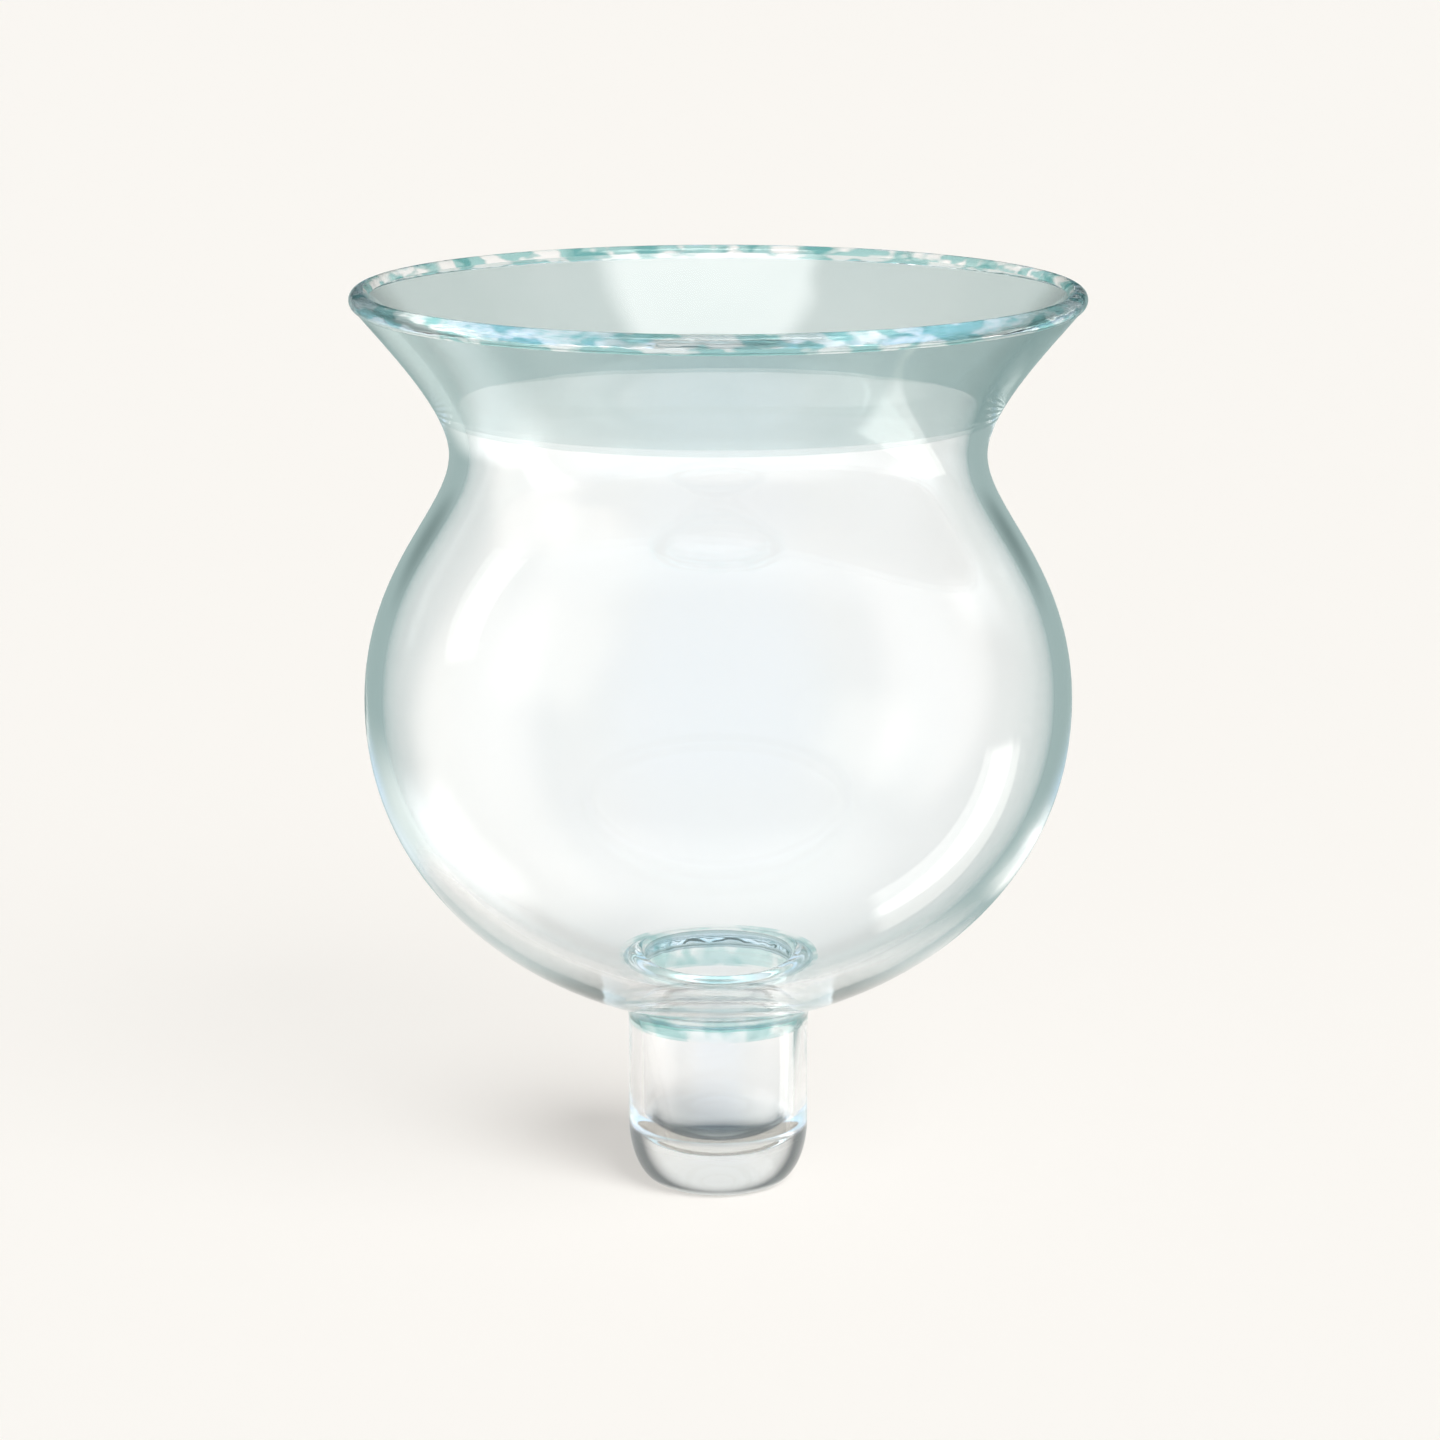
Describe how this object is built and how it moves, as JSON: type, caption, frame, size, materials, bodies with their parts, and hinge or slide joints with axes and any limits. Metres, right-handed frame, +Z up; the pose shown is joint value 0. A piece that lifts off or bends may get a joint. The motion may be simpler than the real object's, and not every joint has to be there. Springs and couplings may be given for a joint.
{
  "type": "peg votive cup",
  "caption": "Clear glass cup with a round bulb, a narrow neck and a flared mouth, on a short closed hollow stem that plugs into a candle socket.",
  "frame": {"origin": "centre of the flat foot under the stem, which is the part's lowest point", "axes": "+Z up along the cup's axis, from the foot to the mouth; X and Y are alike"},
  "size_m": [0.08, 0.08, 0.1015],
  "materials": {
    "clear_glass": "clear and polished, with a faint cool tint",
    "mouth_glass": "clear and polished, with a grey-green tint",
    "edge_glass": "fire-polished, aqua where the glass is seen edge on"
  },
  "bodies": {
    "root": {"rim_bead": "edge_glass", "flared_mouth": "mouth_glass", "bulb": "clear_glass", "seal_ring": "edge_glass", "stem": "clear_glass"}
  },
  "joints": []
}
